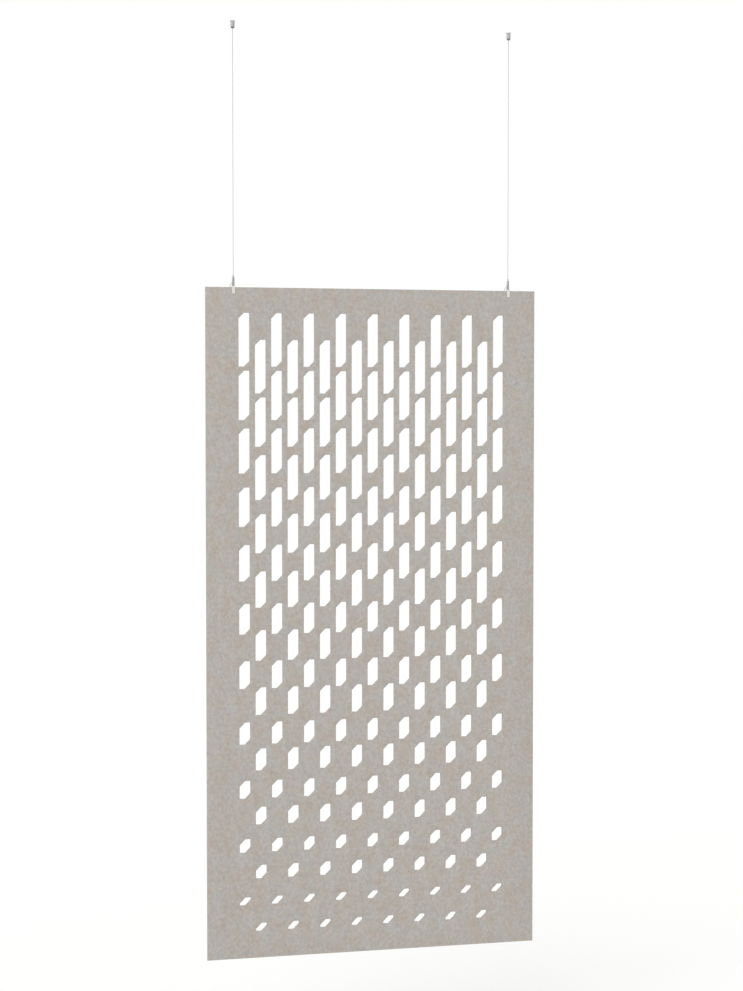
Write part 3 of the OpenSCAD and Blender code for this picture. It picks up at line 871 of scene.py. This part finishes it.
def makeCeilingCap(side, x):
    f = fitting
    wall = [(f["neck"] - f["edge"], f["baseFoot"]), (f["neck"], f["baseFoot"] - f["edge"])]
    for i in range(1, f["bulgeSteps"] + 1):
        t = i / f["bulgeSteps"]
        wall.append((f["neck"] + f["bulge"] * math.sin(math.pi * t),
                     f["baseFoot"] + (f["roundTop"] - f["baseFoot"]) * t))
    for i in range(1, f["roundSteps"] + 1):
        a = math.pi / 2 * i / f["roundSteps"]
        wall.append((f["tipRadius"] + (f["neck"] - f["tipRadius"]) * math.cos(a),
                     f["roundTop"] + (f["tip"] - f["roundTop"]) * math.sin(a)))
    inside = [
        (f["mouth"] + f["mouthEdge"], f["tip"]), (f["mouth"], f["tip"] + f["mouthEdge"]),
        (f["throat"], f["throatTop"] - f["throatLength"]), (f["throat"], f["throatTop"]),
        (f["chamber"], f["chamberFoot"]), (f["chamber"], f["bossFoot"] - f["socketGap"]),
        (f["socket"], f["bossFoot"] - f["socketGap"]), (f["socket"], f["baseFoot"]), wall[0],
    ]
    piece = turned(x, wall + inside, f["sides"], openEnds=True)
    # its nose has painted shade
    finishMesh(piece, "ceilingSocket_" + side, shadedNoseNickel)
    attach(piece, "ceiling_fittings")
    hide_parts("ceiling_cap_" + side)


for side, sign in sides.items():
    makeCeilingBase(side, sign * hangerX)
    makeCeilingCap(side, sign * hangerX)
print("ceiling fittings turned")


# Radii in mm, and heights above the felt's top edge
gripper = {
    "sides": 80,
    "radius": 4.5, "foot": 4.7, "top": 36, "edge": 0.3,
    "shoulder": 1.6, "shoulderEdge": (0.12, 0.4),  # its upper corner, in from the side and down
    "rim": (0.75, 0.45, 0.25),  # round the nose: its outer side, its top and its depth
    "nose": 2.4, "coneTop": 33.64, "coneFoot": 26.55, "bore": 3.6,
    "port": 1.45, "drillLength": 16, "drillSides": 40,
    "springTurns": 4, "turnSteps": 24, "springWire": 0.4, "springRadius": 2.5,
    "plugTop": 23, "springLength": 4.4, "springGap": 0.05,
    "coilSteps": 3, "smooth": 60,
    "travel": 2,
}


def makeBarrel(side, x):
    g = gripper
    edge, (inwards, down) = g["edge"], g["shoulderEdge"]
    rimSide, rimTop, rimDepth = g["rim"]
    rings = [
        (g["bore"] + edge, g["foot"]), (g["radius"] - edge, g["foot"]),
        (g["radius"] - edge / 3, g["foot"] + edge / 3), (g["radius"], g["foot"] + edge),
        (g["radius"], g["top"] - g["shoulder"] - down),
        (g["radius"] - inwards, g["top"] - g["shoulder"]),
        (g["nose"] + rimSide, g["top"] - edge), (g["nose"] + rimTop, g["top"]),
        (g["nose"], g["top"] - rimDepth), (g["nose"], g["coneTop"]),
        (g["bore"], g["coneFoot"]), (g["bore"], g["foot"] + edge), (g["bore"] + edge, g["foot"]),
    ]
    piece = turned(x, [(r, panelTop + z) for r, z in rings], g["sides"], openEnds=True)
    # the port: a slanting drill hole in which the tail leaves
    turn, lean = math.radians(wire["turn"]), math.radians(180 - wire["tilt"])
    fall = wire["bendRadius"] * math.tan(math.radians(wire["tilt"] / 2))
    corner = panelTop + wire["bendTop"] - fall
    bpy.ops.object.select_all(action="DESELECT")
    bpy.ops.mesh.primitive_cylinder_add(
        vertices=g["drillSides"], radius=g["port"] * mm, depth=g["drillLength"] * mm
    )
    drill = bpy.context.object
    drill.matrix_world = (
        Matrix.Translation((x, 0, corner * mm)) @ Matrix.Rotation(turn, 4, "Z")
        @ Matrix.Rotation(lean, 4, "Y") @ Matrix.Translation((0, 0, g["drillLength"] / 2 * mm))
    )
    only(drill)
    bpy.ops.object.transform_apply(location=True, rotation=True, scale=True)
    applyModifier(piece, "BOOLEAN", object=drill, operation="DIFFERENCE", solver="EXACT")
    bpy.data.objects.remove(drill)
    finishMesh(piece, "gripBarrel_" + side, gripNickel)
    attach(piece, "panel")
    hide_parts("gripper_barrel_" + side)


def makeSpring(side, x):
    # a round helix between the plug and the plunger's foot
    g = gripper
    count = g["springTurns"] * g["turnSteps"]
    rise = (g["springLength"] - g["springWire"] - 2 * g["springGap"]) * mm
    low = (panelTop + g["plugTop"] + g["springGap"] + g["springWire"] / 2) * mm
    curve = bpy.data.curves.new("coil", "CURVE")
    curve.dimensions = "3D"
    curve.bevel_depth = g["springWire"] / 2 * mm
    curve.bevel_resolution = g["coilSteps"]
    curve.use_fill_caps = True
    line = curve.splines.new("POLY")
    line.points.add(count)
    for i, point in enumerate(line.points):
        a = math.tau * i / g["turnSteps"]
        point.co = (x + g["springRadius"] * mm * math.cos(a), g["springRadius"] * mm * math.sin(a),
                    low + rise * i / count, 1)
    coil = bpy.data.objects.new("coil", curve)
    bpy.context.scene.collection.objects.link(coil)
    only(coil)
    bpy.ops.object.convert(target="MESH")
    piece = bpy.context.object
    finishMesh(piece, "gripSpring_" + side, turnedSteel, g["smooth"])
    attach(piece, "panel")
    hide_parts("plunger_spring_" + side)
    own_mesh(piece)


for side, sign in sides.items():
    makeBarrel(side, sign * hangerX)
    makeSpring(side, sign * hangerX)
print("grippers turned")


# Clip and pad keep the CAD's form and get soft edges, in mm and degrees
clip = {
    "edge": 0.35, "edgeSteps": 3, "padEdge": 0.2, "padSteps": 2, "sharp": 40, "smooth": 35,
}
# In mm; the thread fades over its last pitch at both ends
setScrew = {
    "radius": 2, "root": 1.65, "pitch": 0.7, "fade": 0.25, "perTurn": 6, "sides": 36,
    "length": 6, "point": 1.2, "edge": 0.3, "tip": 6.9, "depth": 14,
    "socket": 1.1, "socketDepth": 2, "socketEdge": 0.15,
}


def makeClip(side):
    piece = copyOfNode("fork_clip_" + side)
    applyModifier(
        piece, "BEVEL", width=clip["edge"] * mm, segments=clip["edgeSteps"],
        limit_method="ANGLE", angle_limit=math.radians(clip["sharp"]), use_clamp_overlap=True,
    )
    finishMesh(piece, "forkClip_" + side, powderCoat, clip["smooth"])
    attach(piece, "panel")
    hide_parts("fork_clip_" + side)
    piece = copyOfNode("clamp_pad_" + side)
    applyModifier(
        piece, "BEVEL", width=clip["padEdge"] * mm, segments=clip["padSteps"],
        limit_method="ANGLE", angle_limit=math.radians(clip["sharp"]), use_clamp_overlap=True,
    )
    finishMesh(piece, "pressurePad_" + side, whiteNylon, clip["smooth"])
    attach(piece, "panel")
    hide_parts("clamp_pad_" + side)


def makeSetScrew(side, x):
    # a turned rod of many rings whose points then follow the thread, with a six-sided socket
    s = setScrew
    step = s["pitch"] / s["perTurn"]
    count = round(s["length"] / step)
    floor = s["length"] - s["socketDepth"]
    inSocket = (s["socket"] + slack["same"]) * mm
    rings = [(s["point"], 0)]
    rings += [(s["radius"], (i + 0.5) * s["length"] / count) for i in range(count)]
    rings += [(s["radius"] - s["edge"], s["length"]), (s["socket"] + s["socketEdge"], s["length"]),
              (s["socket"], s["length"] - s["socketEdge"]), (s["socket"], floor)]
    piece = turned(x, rings, s["sides"])
    fillRing(piece, lambda v: abs(v.co.z - floor * mm) < slack["same"] * mm
             and math.hypot(v.co.x - x, v.co.y) < inSocket)
    for point in piece.data.vertices:
        away = Vector((point.co.x - x, point.co.y, 0))
        angle = math.atan2(away.y, away.x)
        if abs(away.length - s["radius"] * mm) < slack["same"] * mm:
            phase = (point.co.z / (s["pitch"] * mm) - angle / math.tau) % 1
            depth = (s["radius"] - s["root"]) * abs(2 * phase - 1)
            ends = min(point.co.z, s["length"] * mm - point.co.z) / (s["pitch"] * mm)
            r = s["radius"] - depth - s["fade"] * (1 - min(1.0, ends))
            away *= r * mm / away.length
        elif away.length < inSocket:  # round to six-sided
            half = math.pi / 6
            away *= math.cos(half) / math.cos((angle + half) % (2 * half) - half)
        point.co.x, point.co.y = x + away.x, away.y
    # laid along Y, its socket to the back
    piece.data.transform(
        Matrix.Translation((x, s["tip"] * mm, (panelTop - s["depth"]) * mm))
        @ Matrix.Rotation(math.radians(-90), 4, "X") @ Matrix.Translation((-x, 0, 0))
    )
    finishMesh(piece, "setScrew_" + side, turnedSteel)
    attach(piece, "panel")
    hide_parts("clamp_screw_" + side)


for side, sign in sides.items():
    makeClip(side)
    makeSetScrew(side, sign * hangerX)
print("clips and screws made")


stay = {
    "wire_stop": turnedSteel,
    "gripper_plunger": turnedSteel,
    "clutch_balls": ballSteel,
    "gripper_plug": gripNickel,
    "clip_screw": turnedSteel,
}
for side in sides:
    for name, material in stay.items():
        node = cadNodes[name + "_" + side]
        node.data.materials.clear()
        node.data.materials.append(material)
print("inner pieces finished")


studio = {
    "floor": -3.8,  # metres below the ceiling
    "floorSize": 80,
    "floorColour": "#e6e6e4",
    "floorLift": 0.19,  # so that the lit floor shows white and its shadow stays
    "ambient": 0.83,
    "lamps": {  # suns: turn and spread in degrees
        "key": {"turn": (52, 0, -38), "strength": 0.52, "spread": 40},
        "side": {"turn": (75, 0, -60), "strength": 0.50, "spread": 45},
        "back": {"turn": (52, 0, 142), "strength": 0.40, "spread": 40},
    },
}


def seenDirectly(tree):
    # 1 for what the camera sees, also in a mirror or through glass
    path = addNode(tree, "ShaderNodeLightPath").outputs
    both = addNode(
        tree, "ShaderNodeMath", {0: path["Is Camera Ray"], 1: path["Is Glossy Ray"]},
        operation="MAXIMUM",
    ).outputs[0]
    return addNode(
        tree, "ShaderNodeMath", {0: both, 1: path["Is Transmission Ray"]}, operation="MAXIMUM"
    ).outputs[0]


def makeStudio():
    bpy.ops.object.select_all(action="DESELECT")
    bpy.ops.mesh.primitive_plane_add(size=studio["floorSize"], location=(0, 0, studio["floor"]))
    floor = bpy.context.object
    floor.name = "studioFloor"
    made = bpy.data.materials.new("pale painted floor")
    made.use_nodes = True
    tree = made.node_tree
    tree.nodes.clear()
    paint = addNode(
        tree, "ShaderNodeBsdfDiffuse", {"Color": linear(studio["floorColour"])}
    ).outputs["BSDF"]
    glow = addNode(
        tree, "ShaderNodeEmission", {"Color": (1, 1, 1, 1), "Strength": studio["floorLift"]}
    ).outputs["Emission"]
    lifted = addNode(tree, "ShaderNodeAddShader", {0: paint, 1: glow}).outputs["Shader"]
    mixed = addNode(
        tree, "ShaderNodeMixShader", {0: seenDirectly(tree), 1: paint, 2: lifted}
    ).outputs["Shader"]
    addNode(tree, "ShaderNodeOutputMaterial", {"Surface": mixed})
    floor.data.materials.append(made)

    world = bpy.data.worlds.new("whiteRoom")
    bpy.context.scene.world = world
    world.use_nodes = True
    tree = world.node_tree
    tree.nodes.clear()
    dim = addNode(
        tree, "ShaderNodeBackground", {"Color": (1, 1, 1, 1), "Strength": studio["ambient"]}
    ).outputs["Background"]
    white = addNode(
        tree, "ShaderNodeBackground", {"Color": (1, 1, 1, 1), "Strength": 1.0}
    ).outputs["Background"]
    mixed = addNode(
        tree, "ShaderNodeMixShader", {0: seenDirectly(tree), 1: dim, 2: white}
    ).outputs["Shader"]
    addNode(tree, "ShaderNodeOutputWorld", {"Surface": mixed})

    for name, values in studio["lamps"].items():
        data = bpy.data.lights.new(name + "Light", "SUN")
        data.energy = values["strength"]
        data.angle = math.radians(values["spread"])
        lamp = bpy.data.objects.new(name + "Light", data)
        lamp.rotation_euler = [math.radians(a) for a in values["turn"]]
        bpy.context.scene.collection.objects.link(lamp)
    bpy.context.scene.view_settings.view_transform = "Standard"


makeStudio()
print("studio lit")

print("done")
